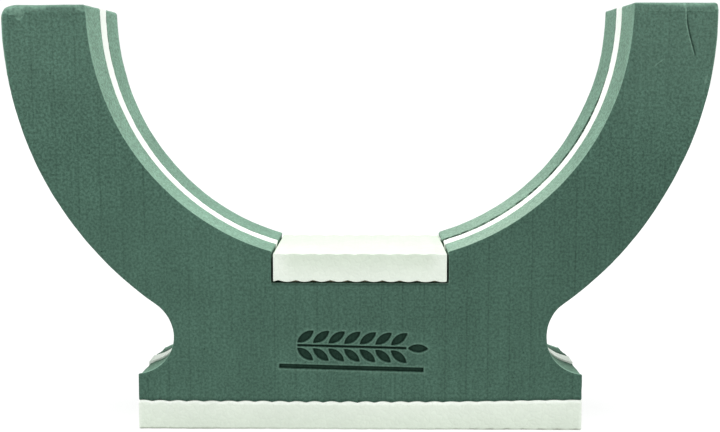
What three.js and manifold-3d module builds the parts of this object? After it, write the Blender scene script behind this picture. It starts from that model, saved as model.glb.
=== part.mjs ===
// Crescent-shaped floral foam frame that holds an urn between its arms.
// Two foam panels are glued to a polystyrene core board of the same outline. The sandwich stands on
// a polystyrene plank, and a polystyrene platform for the urn sits in a notch between the arms.
// Millimetres: +X is right seen from the front, +Y is towards the back, +Z is up, and the origin
// is on the ground under the middle of the frame.

import * as THREE from "three";
import { mergeVertices } from "three/addons/utils/BufferGeometryUtils.js";
import Module from "manifold-3d";

const wasm = await Module();
wasm.setup();

// The sandwich, front to back
const FRAME_DEPTH = 100;
const CORE_THICKNESS = 18;

// Glue: every joint leaves a bond line, and a thin film fills it up to a margin from the edges
const BOND_LINE = 0.5;
const FILM_THICKNESS = 0.4;
const FILM_MARGIN = 6;

// Plank under the sandwich
const PLANK_HEIGHT = 21;
const PLANK_OVERHANG = 0.4;

// Outline of the three boards: foot, round waist recess, outer arc, flat arm top and inner arc
const FOOT_HALF_WIDTH = 163;
const WAIST_RADIUS = 28.5;
const WAIST_CENTRE_OFFSET = 164.7;
const OUTER_RADIUS = 254;
const OUTER_CENTRE_HEIGHT = 300;
const ARM_TOP_HEIGHT = 310;
const INNER_RADIUS = 180.8;
const INNER_CENTRE_HEIGHT = 306.4;
const INNER_CENTRE_OFFSET = 13.3;
const ARC_SEGMENTS = 24;

// Urn platform, and the gap on each side of it in its notch
const PLATFORM_HALF_WIDTH = 63.2;
const PLATFORM_THICKNESS = 21;
const PLATFORM_TOP_HEIGHT = 131.5;
const NOTCH_GAP = 1;

// Pressed ornament on the front panel: a leafy sprig over a plain rule, slightly tilted.
// Its heights count from its own centre.
const ORNAMENT_CENTRE_X = -6;
const ORNAMENT_CENTRE_HEIGHT = 58;
const ORNAMENT_TILT = THREE.MathUtils.degToRad(-1.5);
const PRESS_DEPTH = 1.8;
const SPRIG_HALF_WIDTH = 56;
const SPRIG_HEIGHT = 4.5;
const STEM_WIDTH = 1.8;
const LEAF_PAIRS = 7;
const LEAF_LENGTH = 15;
const LEAF_WIDTH = 6.2;
const LEAF_ANGLE = THREE.MathUtils.degToRad(38);
const LEAF_GAP = 1;
const LEAF_SEGMENTS = 8;
const RULE_HALF_WIDTH = 53;
const RULE_HEIGHT = -11.5;
const RULE_THICKNESS = 3.4;

// Worked out from the sizes above
const CORE_FRONT = -CORE_THICKNESS / 2;
const CORE_BACK = CORE_THICKNESS / 2;
const FRAME_FRONT = -FRAME_DEPTH / 2;
const FRAME_BACK = FRAME_DEPTH / 2;
const BOARD_BOTTOM = PLANK_HEIGHT + BOND_LINE;
const NOTCH_HALF_WIDTH = PLATFORM_HALF_WIDTH + NOTCH_GAP;
const NOTCH_FLOOR = PLATFORM_TOP_HEIGHT - PLATFORM_THICKNESS - BOND_LINE;
// The waist's circle touches the outer circle.
const WAIST_HEIGHT = OUTER_CENTRE_HEIGHT
  - Math.sqrt((OUTER_RADIUS + WAIST_RADIUS) ** 2 - WAIST_CENTRE_OFFSET ** 2);
const WAIST_TANGENT = Math.atan2(WAIST_HEIGHT - OUTER_CENTRE_HEIGHT, WAIST_CENTRE_OFFSET);

const foam = new THREE.MeshStandardMaterial({ color: 0x587568, roughness: 0.95, metalness: 0 });
const polystyrene = new THREE.MeshStandardMaterial({ color: 0xf0f4e8, roughness: 0.8, metalness: 0 });
const glue = new THREE.MeshStandardMaterial({ color: 0xe6d9a8, roughness: 0.35, metalness: 0 });

function arc(x, z, radius, start, end) {
  const curve = new THREE.EllipseCurve(x, z, radius, radius, start, end, end < start);
  return curve.getPoints(ARC_SEGMENTS);
}

// The boards' outline, moved inwards by inset on every side.
function boardOutline(inset) {
  const outerRadius = OUTER_RADIUS - inset;
  const innerRadius = INNER_RADIUS + inset;
  const waistRadius = WAIST_RADIUS + inset;
  const top = ARM_TOP_HEIGHT - inset;
  const notchX = NOTCH_HALF_WIDTH + inset;

  const footX = FOOT_HALF_WIDTH - inset;
  const footAngle = Math.PI * 1.5 - Math.asin((WAIST_CENTRE_OFFSET - footX) / waistRadius);
  const outerTopAngle = Math.asin((top - OUTER_CENTRE_HEIGHT) / outerRadius);
  const innerTopAngle = Math.asin((top - INNER_CENTRE_HEIGHT) / innerRadius);
  const notchAngle = -Math.acos((notchX - INNER_CENTRE_OFFSET) / innerRadius);

  const waistEnd = WAIST_TANGENT + Math.PI;
  const waist = arc(WAIST_CENTRE_OFFSET, WAIST_HEIGHT, waistRadius, footAngle, waistEnd);
  const outer = arc(0, OUTER_CENTRE_HEIGHT, outerRadius, WAIST_TANGENT, outerTopAngle);
  const inner = arc(INNER_CENTRE_OFFSET, INNER_CENTRE_HEIGHT, innerRadius, innerTopAngle, notchAngle);
  const right = [
    new THREE.Vector2(footX, BOARD_BOTTOM + inset),
    ...waist,
    ...outer.slice(1),
    ...inner,
    new THREE.Vector2(notchX, NOTCH_FLOOR - inset),
  ];
  const left = right.map((point) => new THREE.Vector2(-point.x, point.y)).reverse();
  return new THREE.Shape([...right, ...left]);
}

// A solid with the shape as its front view, between the two depths.
function extrude(shape, front, back) {
  const geometry = new THREE.ExtrudeGeometry(shape, { depth: back - front, bevelEnabled: false });
  geometry.rotateX(Math.PI / 2);
  geometry.translate(0, back, 0);
  return geometry;
}

function box(halfWidth, depth, bottom, top) {
  const geometry = new THREE.BoxGeometry(2 * halfWidth, depth, top - bottom);
  geometry.translate(0, 0, (bottom + top) / 2);
  return geometry;
}

function toSolid(geometry) {
  const bare = geometry.clone();
  bare.deleteAttribute("normal");
  bare.deleteAttribute("uv");
  const merged = mergeVertices(bare);
  return new wasm.Manifold(new wasm.Mesh({
    numProp: 3,
    vertProperties: merged.attributes.position.array,
    triVerts: Uint32Array.from(merged.index.array),
  }));
}

function toGeometry(solid) {
  const mesh = solid.getMesh();
  const geometry = new THREE.BufferGeometry();
  geometry.setAttribute("position", new THREE.BufferAttribute(mesh.vertProperties, 3));
  geometry.setIndex(new THREE.BufferAttribute(mesh.triVerts, 1));
  geometry.computeVertexNormals();
  return geometry;
}

// A leaf from the origin along +X: two arcs that meet in a point at each end.
function leafShape(length, width) {
  const half = length / 2;
  const bulge = width / 2;
  const radius = (half ** 2 + bulge ** 2) / (2 * bulge);
  const sweep = Math.asin(half / radius);
  const middle = Math.PI / 2;
  const edge = new THREE.EllipseCurve(
    half, bulge - radius, radius, radius, middle + sweep, middle - sweep, true,
  ).getPoints(LEAF_SEGMENTS);
  const lower = edge.slice(1, -1).map((point) => new THREE.Vector2(point.x, -point.y)).reverse();
  return new THREE.Shape([...edge, ...lower].reverse());
}

function barShape(halfLength, thickness) {
  const half = thickness / 2;
  return new THREE.Shape([
    new THREE.Vector2(-halfLength, -half),
    new THREE.Vector2(halfLength, -half),
    new THREE.Vector2(halfLength, half),
    new THREE.Vector2(-halfLength, half),
  ]);
}

// A solid that presses the shape into the front panel, at a place and angle within the ornament.
function stamp(shape, x, height, angle) {
  const geometry = extrude(shape, FRAME_FRONT - PRESS_DEPTH, FRAME_FRONT + PRESS_DEPTH);
  geometry.rotateY(-angle);
  geometry.translate(x, 0, height);
  geometry.rotateY(-ORNAMENT_TILT);
  geometry.translate(ORNAMENT_CENTRE_X, 0, ORNAMENT_CENTRE_HEIGHT);
  return toSolid(geometry);
}

function ornamentStamps() {
  const stemEnd = SPRIG_HALF_WIDTH - LEAF_LENGTH - LEAF_GAP;
  const leafRise = STEM_WIDTH / 2 + LEAF_GAP;
  const leaf = leafShape(LEAF_LENGTH, LEAF_WIDTH);
  const stamps = [
    stamp(barShape(RULE_HALF_WIDTH, RULE_THICKNESS), 0, RULE_HEIGHT, 0),
    stamp(barShape(stemEnd, STEM_WIDTH), 0, SPRIG_HEIGHT, 0),
    stamp(leaf, stemEnd + LEAF_GAP, SPRIG_HEIGHT, 0),
  ];
  for (let pair = 0; pair < LEAF_PAIRS; pair += 1) {
    const x = stemEnd * ((2 * pair) / LEAF_PAIRS - 1);
    stamps.push(stamp(leaf, x, SPRIG_HEIGHT + leafRise, LEAF_ANGLE));
    stamps.push(stamp(leaf, x, SPRIG_HEIGHT - leafRise, -LEAF_ANGLE));
  }
  return stamps;
}

function frontPanel() {
  const board = extrude(boardOutline(0), FRAME_FRONT, CORE_FRONT - BOND_LINE);
  const pressed = ornamentStamps().reduce((solid, cut) => solid.subtract(cut), toSolid(board));
  return toGeometry(pressed);
}

function backPanel() {
  return extrude(boardOutline(0), CORE_BACK + BOND_LINE, FRAME_BACK);
}

function coreBoard() {
  return extrude(boardOutline(0), CORE_FRONT, CORE_BACK);
}

// A glue film in the bond line between the core board and one panel.
function panelFilm(middle) {
  const half = FILM_THICKNESS / 2;
  return extrude(boardOutline(FILM_MARGIN), middle - half, middle + half);
}

// A level glue film in the bond line above the given height.
function levelFilm(halfWidth, height) {
  const bottom = height + (BOND_LINE - FILM_THICKNESS) / 2;
  const depth = FRAME_DEPTH - 2 * FILM_MARGIN;
  return box(halfWidth - FILM_MARGIN, depth, bottom, bottom + FILM_THICKNESS);
}

const group = new THREE.Group();

function add(name, geometry, material) {
  const mesh = new THREE.Mesh(geometry, material);
  mesh.name = name;
  group.add(mesh);
}

const plank = box(FOOT_HALF_WIDTH + PLANK_OVERHANG, FRAME_DEPTH, 0, PLANK_HEIGHT);
const platformBottom = PLATFORM_TOP_HEIGHT - PLATFORM_THICKNESS;
const platform = box(PLATFORM_HALF_WIDTH, FRAME_DEPTH, platformBottom, PLATFORM_TOP_HEIGHT);
add("front_foam_panel", frontPanel(), foam);
add("back_foam_panel", backPanel(), foam);
add("core_board", coreBoard(), polystyrene);
add("base_plank", plank, polystyrene);
add("urn_platform", platform, polystyrene);
add("front_glue_film", panelFilm(CORE_FRONT - BOND_LINE / 2), glue);
add("back_glue_film", panelFilm(CORE_BACK + BOND_LINE / 2), glue);
add("base_glue_film", levelFilm(FOOT_HALF_WIDTH, PLANK_HEIGHT), glue);
add("platform_glue_film", levelFilm(PLATFORM_HALF_WIDTH, NOTCH_FLOOR), glue);

export default group;
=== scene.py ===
import math

import bmesh
import bpy
import numpy as np
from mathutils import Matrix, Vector
from mathutils.geometry import delaunay_2d_cdt


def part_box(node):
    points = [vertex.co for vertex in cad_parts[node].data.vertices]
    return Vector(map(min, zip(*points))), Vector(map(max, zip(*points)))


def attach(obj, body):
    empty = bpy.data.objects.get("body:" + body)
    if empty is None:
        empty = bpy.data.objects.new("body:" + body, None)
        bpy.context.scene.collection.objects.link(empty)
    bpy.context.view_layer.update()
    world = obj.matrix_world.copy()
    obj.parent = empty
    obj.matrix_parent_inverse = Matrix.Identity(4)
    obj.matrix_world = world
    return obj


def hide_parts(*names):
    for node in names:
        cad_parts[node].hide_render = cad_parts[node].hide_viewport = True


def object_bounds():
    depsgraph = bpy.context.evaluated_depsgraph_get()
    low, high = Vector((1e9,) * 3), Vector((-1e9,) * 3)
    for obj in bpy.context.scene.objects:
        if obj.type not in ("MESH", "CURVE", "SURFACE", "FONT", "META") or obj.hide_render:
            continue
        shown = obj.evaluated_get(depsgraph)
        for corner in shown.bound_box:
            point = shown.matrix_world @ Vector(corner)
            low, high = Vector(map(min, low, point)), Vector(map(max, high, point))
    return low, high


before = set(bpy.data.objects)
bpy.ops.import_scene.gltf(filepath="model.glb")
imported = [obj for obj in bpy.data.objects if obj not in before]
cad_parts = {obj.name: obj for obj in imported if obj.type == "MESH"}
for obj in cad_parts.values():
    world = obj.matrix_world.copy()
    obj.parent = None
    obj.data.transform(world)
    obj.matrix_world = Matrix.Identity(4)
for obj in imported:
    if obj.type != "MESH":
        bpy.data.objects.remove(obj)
CAD_LOW, CAD_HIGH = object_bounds()

# The looks of a floral foam urn crescent. Each foam and polystyrene piece is rebuilt as a fine mesh on
# its CAD piece's own outline, with rounded and rubbed edges, cut marks and a procedural material.
# Metres: +X is right seen from the front, +Y is towards the back, +Z is up. MM is one millimetre.
MM = 0.001
ON_PLANE = 0.01 * MM

# Camera
FOCAL_LENGTH = 56.05
CAMERA_X = 8.1 * MM
CAMERA_DISTANCE = 803 * MM
CAMERA_HEIGHT = 256.5 * MM
CAMERA_PITCH = math.radians(6.93)
CAMERA_YAW = math.radians(0.57)

# Studio: a white sky that brightens towards SKY_BRIGHT, a soft overhead light, and a floor that glows
SKY_BRIGHT = (-0.2, 1.0, 0.0)
SKY_FRONT = 0.6
SKY_BACK = 1.03
OVERHEAD_DIRECTION = (0.0, -0.12, 1.0)
OVERHEAD_ANGLE = math.radians(50)
OVERHEAD_STRENGTH = 2.3
FLOOR_GREY = 0.25
FLOOR_GLOW = 0.75

# Mesh fineness
OUTLINE_STEP = 1.7 * MM
FACE_STEP = 1.7 * MM
FINE_STEP = 0.55 * MM
ROW_STEP = 2.2 * MM
EDGE_ROW = 0.8 * MM
CORNER_TURN = math.radians(20)

# Cut marks on the polystyrene: rows of shallow scallops. On the plank's top their tips stand above the
# CAD plank, and the boards on it keep a small gap.
RIPPLE_PITCH = 12.6 * MM
RIPPLE_DEPTH = 1.15 * MM
PLANK_TOP_PHASE = 0.15
PLANK_BOTTOM_PHASE = 0.4
SCALLOP_TIPS = 0.45 * MM
BOARD_GAP = 0.06 * MM

# Saw lines down the foam's faces
LINE_PITCH = 15.6 * MM

ARM_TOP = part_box("front_foam_panel")[1].z
ARM_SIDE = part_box("front_foam_panel")[1].x
PLANK_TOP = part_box("base_plank")[1].z
FOAM_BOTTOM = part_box("front_foam_panel")[0].z
SEAT_LOW, SEAT_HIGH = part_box("urn_platform")

# The outline's main features, and how far the real cut strays from them
OUTER_CENTRE = ARM_TOP - 10 * MM
MID_ARM = ARM_SIDE - 30 * MM
FOOT_SIDE = 163 * MM
FOOT_TOP = 42.1 * MM
OUTER_DRIFT = 1.1 * MM
OUTER_HOLLOW = 0.9 * MM
INNER_LEAN = 0.8 * MM
TOP_LEAN = 0.5 * MM
RECESS_LOSS = 0.5 * MM
NOTCH_PLAY = 0.4 * MM
PROUD = 1.3 * MM
PLANK_BOW = 0.7 * MM
PLANK_SWELL = 1.0 * MM

# The core board's place along Y: at the bottom, how much further back it lies at the arms' tops, and how
# much more than that at the left top and less at the right one
JOINT_BACK = -2.6 * MM
JOINT_RISE = 3.2 * MM
JOINT_TWIST = 2.2 * MM

# Wear of the foot's corners: how far the foam and the core board are pulled in, how far the front panel
# steps down from the core board, and how far the back panel drops
FOAM_PULL = 1.6 * MM
CORE_PULL = 0.8 * MM
FRONT_STEP = 1.1 * MM
CORE_DROP = 0.8 * MM  # barely reaches the board
BACK_DROP = 3.4 * MM

# Roughness of each surface: heights and cell sizes in millimetres
FOAM_ROUGHNESS = [(0.22, 38), (0.10, 7), (0.05, 2.6)]
BLOCK_ROUGHNESS = [(0.12, 24), (0.04, 3.4)]
CORE_ROUGHNESS = [(0.14, 5), (0.08, 2.4)]


# ---------------- noise and small sums


def smoothstep(low, high, x):
    t = np.clip((x - low) / (high - low), 0, 1)
    return t * t * (3 - 2 * t)


def lattice(cell, seed):
    """A repeatable random number from 0 to 1 for each lattice cell."""
    factors = (np.uint64(374761393), np.uint64(668265263), np.uint64(2246822519))
    h = np.full(len(cell), seed * 1274126177 + 97, np.uint64)
    for axis in range(3):
        h += cell[:, axis].astype(np.uint64) * factors[axis]
        h = (h ^ (h >> np.uint64(15))) * np.uint64(2654435761)
        h &= np.uint64(0xFFFFFFFF)
    h = h ^ (h >> np.uint64(13))
    return (h & np.uint64(0xFFFFF)).astype(float) / 0xFFFFF


def noise(points, cell, seed):
    """Smooth noise from -1 to 1 at each point, with features about one cell wide."""
    p = points / cell + 1000.0
    base = np.floor(p)
    f = p - base
    f = f * f * (3 - 2 * f)
    base = base.astype(np.int64)
    total = np.zeros(len(p))
    for corner in np.ndindex(2, 2, 2):
        share = np.prod(np.where(np.array(corner) == 1, f, 1 - f), axis=1)
        total += share * lattice(base + np.array(corner), seed)
    return 2 * total - 1


def layered(points, layers, seed):
    """Noise of several sizes added up."""
    return sum(high * MM * noise(points, cell * MM, seed + k) for k, (high, cell) in enumerate(layers))


def ripple(x, phase):
    """How far a scalloped cut stands in from its crests, at each x."""
    waviness = 1 + 0.25 * np.sin(x / (57 * MM) + phase * 3)
    return RIPPLE_DEPTH * waviness * (1 - np.abs(np.sin(math.pi * (x / RIPPLE_PITCH + phase))))


# ---------------- outlines


def face_loops(node, y):
    """The closed outlines of a CAD node's flat face at depth y, longest first, as rows of x and z."""
    bm = bmesh.new()
    bm.from_mesh(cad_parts[node].data)
    bmesh.ops.remove_doubles(bm, verts=bm.verts, dist=ON_PLANE)
    flat = {f for f in bm.faces if all(abs(v.co.y - y) < ON_PLANE for v in f.verts)}
    following = {}
    for face in flat:
        for loop in face.loops:
            if any(other not in flat for other in loop.edge.link_faces):
                following[loop.vert] = loop.link_loop_next.vert
    loops = []
    while following:
        start = min(following, key=lambda v: (round(v.co.x, 6), round(v.co.z, 6)))
        ring = [start]
        while following[ring[-1]] is not start:
            ring.append(following.pop(ring[-1]))
        following.pop(ring[-1])
        loops.append(np.array([(v.co.x, v.co.z) for v in ring]))
    bm.free()
    loops = [ring if area(ring) > 0 else ring[::-1] for ring in loops]
    return sorted(loops, key=lambda ring: -length(ring))


def area(ring):
    nxt = np.roll(ring, -1, axis=0)
    return 0.5 * float((ring[:, 0] * nxt[:, 1] - nxt[:, 0] * ring[:, 1]).sum())


def length(ring):
    return float(np.linalg.norm(np.roll(ring, -1, axis=0) - ring, axis=1).sum())


def turns(ring):
    """The angle each point of a closed outline turns through."""
    before = ring - np.roll(ring, 1, axis=0)
    after = np.roll(ring, -1, axis=0) - ring
    cross = before[:, 0] * after[:, 1] - before[:, 1] * after[:, 0]
    return np.arctan2(cross, (before * after).sum(1))


def hermite(points, per_span=12):
    """A dense smooth curve through an open row of points."""
    gaps = np.linalg.norm(np.diff(points, axis=0), axis=1)
    slopes = np.diff(points, axis=0) / gaps[:, None]
    tangents = np.empty_like(points)
    tangents[0], tangents[-1] = slopes[0], slopes[-1]
    if len(points) > 2:
        a, b = gaps[:-1, None], gaps[1:, None]
        tangents[1:-1] = (slopes[:-1] * b + slopes[1:] * a) / (a + b)
        tangents[0] = 2 * slopes[0] - tangents[1]
        tangents[-1] = 2 * slopes[-1] - tangents[-2]
    t = np.linspace(0, 1, per_span, endpoint=False)[None, :, None]
    p0, p1 = points[:-1, None], points[1:, None]
    m0, m1 = tangents[:-1, None] * gaps[:, None, None], tangents[1:, None] * gaps[:, None, None]
    curve = (
        (2 * t**3 - 3 * t**2 + 1) * p0 + (t**3 - 2 * t**2 + t) * m0
        + (3 * t**2 - 2 * t**3) * p1 + (t**3 - t**2) * m1
    )
    return np.vstack([curve.reshape(-1, 2), points[-1:]])


def stretch(curve, start, end, step):
    """Even steps along a dense curve, from start after its beginning to end before its end."""
    along = np.concatenate([[0], np.cumsum(np.linalg.norm(np.diff(curve, axis=0), axis=1))])
    high = along[-1] - end
    count = max(2, round((high - start) / step) + 1)
    s = np.linspace(start, high, count)
    return np.column_stack([np.interp(s, along, curve[:, axis]) for axis in range(2)])


def redraw(ring, step, radius_at):
    """The outline at even steps, curved where the CAD outline is faceted, with its corners rounded.
    radius_at gives a corner's radius from its x and z."""
    turn = turns(ring)
    corners = np.flatnonzero(np.abs(turn) > CORNER_TURN)
    radii = [radius_at(*ring[c]) for c in corners]
    trims = [r * math.tan(abs(turn[c]) / 2) for r, c in zip(radii, corners)]
    parts = []
    for k, first in enumerate(corners):
        last = corners[(k + 1) % len(corners)]
        span = np.arange(first, last + 1 if last > first else last + 1 + len(ring)) % len(ring)
        run = stretch(hermite(ring[span]), trims[k], trims[(k + 1) % len(corners)], step)
        parts.append((run, ring[last], radii[(k + 1) % len(corners)], abs(turn[last])))
    out = []
    for k, (run, corner, radius, angle) in enumerate(parts):
        out.append(run)
        nxt = parts[(k + 1) % len(parts)][0]
        count = max(2, math.ceil(radius * angle / (0.5 * step)))
        t = np.linspace(0, 1, count + 2)[1:-1, None]
        out.append((1 - t) ** 2 * run[-1] + 2 * t * (1 - t) * corner + t**2 * nxt[0])
    return np.vstack(out)


def inward(ring):
    """Unit normals of a counterclockwise outline, pointing into it."""
    along = np.roll(ring, -1, axis=0) - np.roll(ring, 1, axis=0)
    normal = np.column_stack([-along[:, 1], along[:, 0]])
    return normal / np.linalg.norm(normal, axis=1)[:, None]


def inside(points, ring):
    """Which points lie inside a closed outline."""
    x, z = points[:, 0][:, None], points[:, 1][:, None]
    x0, z0 = ring[:, 0][None], ring[:, 1][None]
    x1, z1 = np.roll(ring[:, 0], -1)[None], np.roll(ring[:, 1], -1)[None]
    with np.errstate(divide="ignore", invalid="ignore"):
        crossing = ((z0 > z) != (z1 > z)) & (x < (x1 - x0) * (z - z0) / (z1 - z0) + x0)
    return crossing.sum(1) % 2 == 1


def distance_to(points, ring):
    """Each point's distance to a closed outline."""
    best = np.full(len(points), np.inf)
    for start, along in zip(ring, np.roll(ring, -1, axis=0) - ring):
        rel = points - start
        t = np.clip(rel @ along / max(along @ along, 1e-18), 0, 1)
        best = np.minimum(best, np.linalg.norm(rel - t[:, None] * along, axis=1))
    return best


def depth_inside(points, ring):
    """How far each point lies inside a closed outline, negative outside it."""
    away = distance_to(points, ring)
    return np.where(inside(points, ring), away, -away)


def close_to(points, shape, margin):
    """The indices of the points within a margin of a shape's bounding box."""
    low, high = shape.min(0) - margin, shape.max(0) + margin
    return np.flatnonzero(((points > low) & (points < high)).all(1))


def beside(points, line):
    """Each point's distance to an open line, and how far along the line that is, from 0 to 1."""
    steps = np.linalg.norm(np.diff(line, axis=0), axis=1)
    starts = np.concatenate([[0], np.cumsum(steps)])
    best, share = np.full(len(points), np.inf), np.zeros(len(points))
    for k, (start, end) in enumerate(zip(line[:-1], line[1:])):
        rel, along = points - start, end - start
        t = np.clip(rel @ along / (along @ along), 0, 1)
        away = np.linalg.norm(rel - t[:, None] * along, axis=1)
        nearer = away < best
        best[nearer] = away[nearer]
        share[nearer] = (starts[k] + t[nearer] * steps[k]) / starts[-1]
    return best, share


def hex_grid(low, high, step, jitter, seed):
    """Points in staggered rows over a rectangle, each moved a little at random."""
    rows = np.arange(low[1], high[1], step * math.sqrt(0.75))
    columns = np.arange(low[0], high[0], step)
    x, z = np.meshgrid(columns, rows)
    x = x + (np.arange(len(rows)) % 2)[:, None] * step / 2
    grid = np.column_stack([x.ravel(), z.ravel()])
    return grid + np.random.default_rng(seed).uniform(-jitter, jitter, grid.shape) * step


# ---------------- boards


def depth_rows(y0, y1, radius0, radius1):
    """For each outline point, rows from one face to the other: how far in and how deep each row lies."""
    quarter = np.linspace(0, math.pi / 2, 5)
    ins, ys = [], []
    for angle in quarter:
        ins.append(radius0 * (1 - math.sin(angle)))
        ys.append(y0 + radius0 * (1 - math.cos(angle)))
    count = max(2, round((y1 - y0) / ROW_STEP))
    edge = EDGE_ROW / (y1 - y0)
    for share in sorted([edge, 1 - edge, *(np.arange(1, count) / count)]):
        ins.append(np.zeros_like(radius0))
        ys.append((y0 + radius0) * (1 - share) + (y1 - radius1) * share)
    for angle in quarter[::-1]:
        ins.append(radius1 * (1 - math.sin(angle)))
        ys.append(y1 - radius1 * (1 - math.cos(angle)))
    return np.array(ins), np.array(ys)


def fill(ring, points):
    """Triangles over a closed outline, using every point given. The outline's points come first."""
    coords = np.vstack([ring, points]).astype(np.float32).astype(float)
    border = [(i, (i + 1) % len(ring)) for i in range(len(ring))]
    found = delaunay_2d_cdt([Vector(p) for p in coords], border, [], 0, 1e-9, True)
    verts = np.array([tuple(v) for v in found[0]])
    source = np.array([ids[0] if ids else -1 for ids in found[3]])
    triangles = np.array(found[2])
    a, b, c = (verts[triangles[:, k]] for k in range(3))
    size = np.abs((b - a)[:, 0] * (c - a)[:, 1] - (b - a)[:, 1] * (c - a)[:, 0])
    return verts, source, triangles[(size > 1e-16) & inside((a + b + c) / 3, coords[:len(ring)])]


def face_points(ring, step, seed):
    low, high = ring.min(0), ring.max(0)
    grid = hex_grid(low, high, step, 0.18, seed)
    grid = grid[inside(grid, ring)]
    return grid[distance_to(grid, ring) > 0.55 * step]


def fit_radius(ring, radius):
    """The edge radius, made smaller where the outline bends too sharply for it."""
    steps = np.linalg.norm(np.roll(ring, -1, axis=0) - ring, axis=1)
    bend = turns(ring) / (0.5 * (steps + np.roll(steps, 1)))
    bend = sum(np.roll(bend, k) for k in range(-1, 2)) / 3
    limit = 0.7 / np.maximum(bend, 1e-6)
    fitted = np.minimum(radius, limit)
    fitted = np.min([np.roll(fitted, k) for k in range(-3, 4)], axis=0)
    return sum(np.roll(fitted, k) for k in range(-2, 3)) / 5


def board(name, ring, y0, y1, radius0, radius1, front_points=None, back_points=None):
    """A closed mesh between depths y0 and y1 with the outline ring, whose edges are rounded to radius0
    at y0 and radius1 at y1. A face with points of its own is triangulated finely over them."""
    normal = inward(ring)
    ins, ys = depth_rows(y0, y1, radius0, radius1)
    count, rows = len(ring), len(ins)
    plan = ring[None] + normal[None] * ins[..., None]
    rim = np.dstack([plan[..., 0], ys, plan[..., 1]]).reshape(-1, 3)
    verts = [rim]
    faces = []
    i = np.arange(count)
    j = (i + 1) % count
    for row in range(rows - 1):
        a, b = row * count, (row + 1) * count
        faces.append(np.column_stack([a + i, b + i, b + j, a + j]))
    triangles = []
    total = len(rim)
    for row, y, points, flip in ((0, y0, front_points, False), (rows - 1, y1, back_points, True)):
        points = np.empty((0, 2)) if points is None else points
        flat, source, tris = fill(plan[row], points)
        index = np.where((source >= 0) & (source < count), row * count + source, -1)
        new = np.flatnonzero(index < 0)
        index[new] = total + np.arange(len(new))
        total += len(new)
        verts.append(np.column_stack([flat[new, 0], np.full(len(new), y), flat[new, 1]]))
        tris = index[tris]
        triangles.append(tris[:, ::-1] if flip else tris)
    verts = np.vstack(verts)
    mesh = bpy.data.meshes.new(name)
    polygons = [list(map(int, f)) for f in np.vstack(faces)]
    polygons += [list(map(int, f)) for f in np.vstack(triangles)]
    mesh.from_pydata(verts.tolist(), [], polygons)
    mesh.validate()
    mesh.update()
    mesh.shade_smooth()
    return mesh


def positions(mesh):
    co = np.empty(len(mesh.vertices) * 3)
    mesh.vertices.foreach_get("co", co)
    return co.reshape(-1, 3)


def normals(mesh):
    no = np.empty(len(mesh.vertices) * 3)
    mesh.vertices.foreach_get("normal", no)
    return no.reshape(-1, 3)


def move_to(mesh, co):
    mesh.vertices.foreach_set("co", co.ravel())
    mesh.update()


def paint(mesh, name, values):
    """Stores a number from 0 to 1 at each vertex for the material to read."""
    layer = mesh.attributes.get(name) or mesh.attributes.new(name, "FLOAT", "POINT")
    layer.data.foreach_set("value", np.clip(values, 0, 1).astype(np.float32))


def piece(name, mesh, material, node):
    obj = bpy.data.objects.new(name, mesh)
    bpy.context.scene.collection.objects.link(obj)
    mesh.materials.append(material)
    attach(obj, "root")
    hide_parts(node)
    return obj


# ---------------- how the parts were really cut


def hump(z, middle, half_width):
    return np.exp(-((z - middle) / half_width) ** 2)


def inner_side(x, z):
    """1 along the arms' inner arcs, 0 along the outer ones."""
    return 1 - smoothstep(MID_ARM - 8 * MM, MID_ARM + 8 * MM, np.hypot(x, z - OUTER_CENTRE))


def as_cut(ring):
    """A board's outline as it was cut: its arms drift a little off the true shape, the right outer arc
    is hollow, the right waist recess is shallow, and the notch is a little wide and deep."""
    x, z = ring[:, 0], ring[:, 1]
    outer = 1 - inner_side(x, z)
    high = smoothstep(FOOT_TOP + 20 * MM, FOOT_TOP + 60 * MM, z)
    right = smoothstep(0, 40 * MM, x)
    lean = smoothstep(ARM_TOP - 110 * MM, ARM_TOP - 10 * MM, z)
    shift = -OUTER_DRIFT * outer * high - INNER_LEAN * right * lean * (1 - outer)
    shift -= OUTER_HOLLOW * right * outer * hump(z, ARM_TOP - 128 * MM, 38 * MM)
    shift += RECESS_LOSS * right * hump(z, FOOT_TOP + 38 * MM, 18 * MM)
    side = in_notch(ring) * (1 - smoothstep(SEAT_HIGH.z - MM, SEAT_HIGH.z + 0.4 * MM, z))
    shift += np.sign(x) * NOTCH_PLAY * side * (np.abs(x) > SEAT_HIGH.x + 0.5 * MM)
    floor = in_notch(ring) * (1 - smoothstep(SEAT_LOW.z, SEAT_LOW.z + 3 * MM, z))
    top = smoothstep(ARM_TOP - 3 * MM, ARM_TOP - MM, z)
    return np.column_stack([x + shift, z + TOP_LEAN * top * x / ARM_SIDE - NOTCH_PLAY * floor])


def stand_proud(ring):
    """The back panel reaches a little past the core board along the right arm's inner arc."""
    x, z = ring[:, 0], ring[:, 1]
    share = inner_side(x, z) * smoothstep(0, 40 * MM, x)
    share *= 1 - smoothstep(ARM_TOP - 90 * MM, ARM_TOP - 40 * MM, z)
    share *= z > SEAT_HIGH.z - 2 * MM
    return ring - inward(ring) * (PROUD * share * (1 - in_notch(ring)))[:, None]


def joint_bow(x, z):
    """The core board's place along Y at each x and z."""
    high = smoothstep(ARM_TOP - 170 * MM, ARM_TOP - 10 * MM, z)
    return JOINT_BACK + high * (JOINT_RISE - JOINT_TWIST * x / ARM_SIDE)


def bow(co):
    """Moves a board's points with the core board, but leaves the frame's front and back in place."""
    share = 1 - (co[:, 1] / CAD_HIGH.y) ** 2
    co[:, 1] += joint_bow(co[:, 0], co[:, 2]) * share
    return co


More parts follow.
